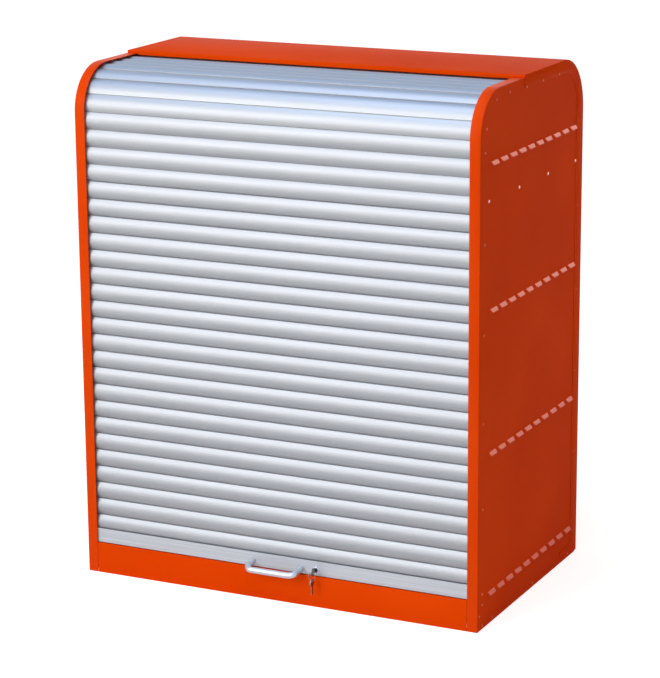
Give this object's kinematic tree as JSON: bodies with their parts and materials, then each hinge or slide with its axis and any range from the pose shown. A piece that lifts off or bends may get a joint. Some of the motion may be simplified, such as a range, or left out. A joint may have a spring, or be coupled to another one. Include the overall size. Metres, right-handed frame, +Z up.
{
  "type": "hazardous materials cabinet",
  "caption": "Free-standing sheet-steel storage cabinet with an aluminium roller shutter, bow handle, cam lock, louvred sides and tray shelves over a sump.",
  "frame": {"origin": "centre of the cabinet's footprint between its side panels, on the ground", "axes": "+X to the right seen from the front, +Y from the shutter to the back, +Z up"},
  "size_m": [1.007, 0.6551, 1.21],
  "materials": {
    "orange_paint": "powder coat, satin",
    "orange_inside": "powder coat, satin",
    "slat_aluminium": "anodised, satin",
    "bar_aluminium": "anodised, satin",
    "handle_aluminium": "satin",
    "galvanised_sheet": "galvanised",
    "zinc_steel": "zinc plated",
    "bright_chrome": "polished",
    "black_plastic": "moulded",
    "black_rubber": "matt"
  },
  "bodies": {
    "cabinet": {"side_panel_left": "orange_paint", "side_panel_right": "orange_paint", "edge_strip_left": "orange_paint", "edge_strip_right": "orange_paint", "plinth_panel": "orange_paint", "top_rear_cover": "orange_paint", "base_floor": "orange_inside", "floor_rib": "orange_inside", "sump_tray": "galvanised_sheet", "sump_floor": "galvanised_sheet", "sump_grate": "galvanised_sheet", "upright_front_left": "galvanised_sheet", "upright_front_right": "galvanised_sheet", "upright_rear_left": "galvanised_sheet", "upright_rear_right": "galvanised_sheet", "shelf_clips_low": "zinc_steel", "shelf_clips_high": "zinc_steel", "tray_shelf_low": "galvanised_sheet", "tray_shelf_high": "galvanised_sheet", "roll_box_floor": "orange_inside", "roll_box_rivets": "bright_chrome", "guide_rail_left": "galvanised_sheet", "guide_rail_right": "galvanised_sheet", "slats_front": "slat_aluminium", "slats_overhead": "slat_aluminium", "suspension_straps": "zinc_steel", "roller_bracket_left": "zinc_steel", "roller_bracket_right": "zinc_steel", "roller_bush_left": "black_plastic", "roller_bush_right": "black_plastic", "bracket_bolts": "zinc_steel"},
    "roller": {"roller_tube": "galvanised_sheet", "roller_cap_left": "black_plastic", "roller_cap_right": "black_plastic"},
    "shutter_bar": {"bottom_bar": "bar_aluminium", "bar_seal": "black_rubber", "bar_end_glides": "black_plastic", "pull_handle": "handle_aluminium", "handle_screws": "zinc_steel", "lock_barrel": "bright_chrome", "lock_nut": "zinc_steel"},
    "lock": {"lock_plug": "bright_chrome", "lock_cam": "zinc_steel", "cam_screw": "zinc_steel"},
    "key": {"door_key": "bright_chrome"},
    "ring": {"key_ring": "bright_chrome"},
    "spare": {"spare_key": "bright_chrome"}
  },
  "joints": [
    {"name": "shutter_lift", "type": "slide", "parent": "cabinet", "child": "shutter_bar", "axis": [0, 0, 1], "range_m": [0, 0.88], "deforming": ["slats_front"]},
    {"name": "roller_turn", "type": "hinge", "parent": "cabinet", "child": "roller", "pos_m": [0, 0.165, 1.12], "axis": [-1, 0, 0], "range_deg": [0, 1060], "deforming": ["suspension_straps"]},
    {"name": "lock_turn", "type": "hinge", "parent": "shutter_bar", "child": "lock", "pos_m": [0.1, -0.3, 0.08745], "axis": [0, -1, 0], "range_deg": [0, 90]},
    {"name": "key_pull", "type": "slide", "parent": "lock", "child": "key", "axis": [0, -1, 0], "range_m": [0, 0.022]},
    {"name": "ring_swing", "type": "hinge", "parent": "key", "child": "ring", "pos_m": [0.1, -0.3221, 0.08745], "axis": [1, 0, 0], "range_deg": [-70, 8]},
    {"name": "spare_swing", "type": "hinge", "parent": "ring", "child": "spare", "pos_m": [0.1, -0.3221, 0.06825], "axis": [1, 0, 0], "range_deg": [-40, 8]}
  ],
  "couplings": [
    {"joint": "roller_turn", "follows": "shutter_lift", "rad_per_m": 21}
  ]
}
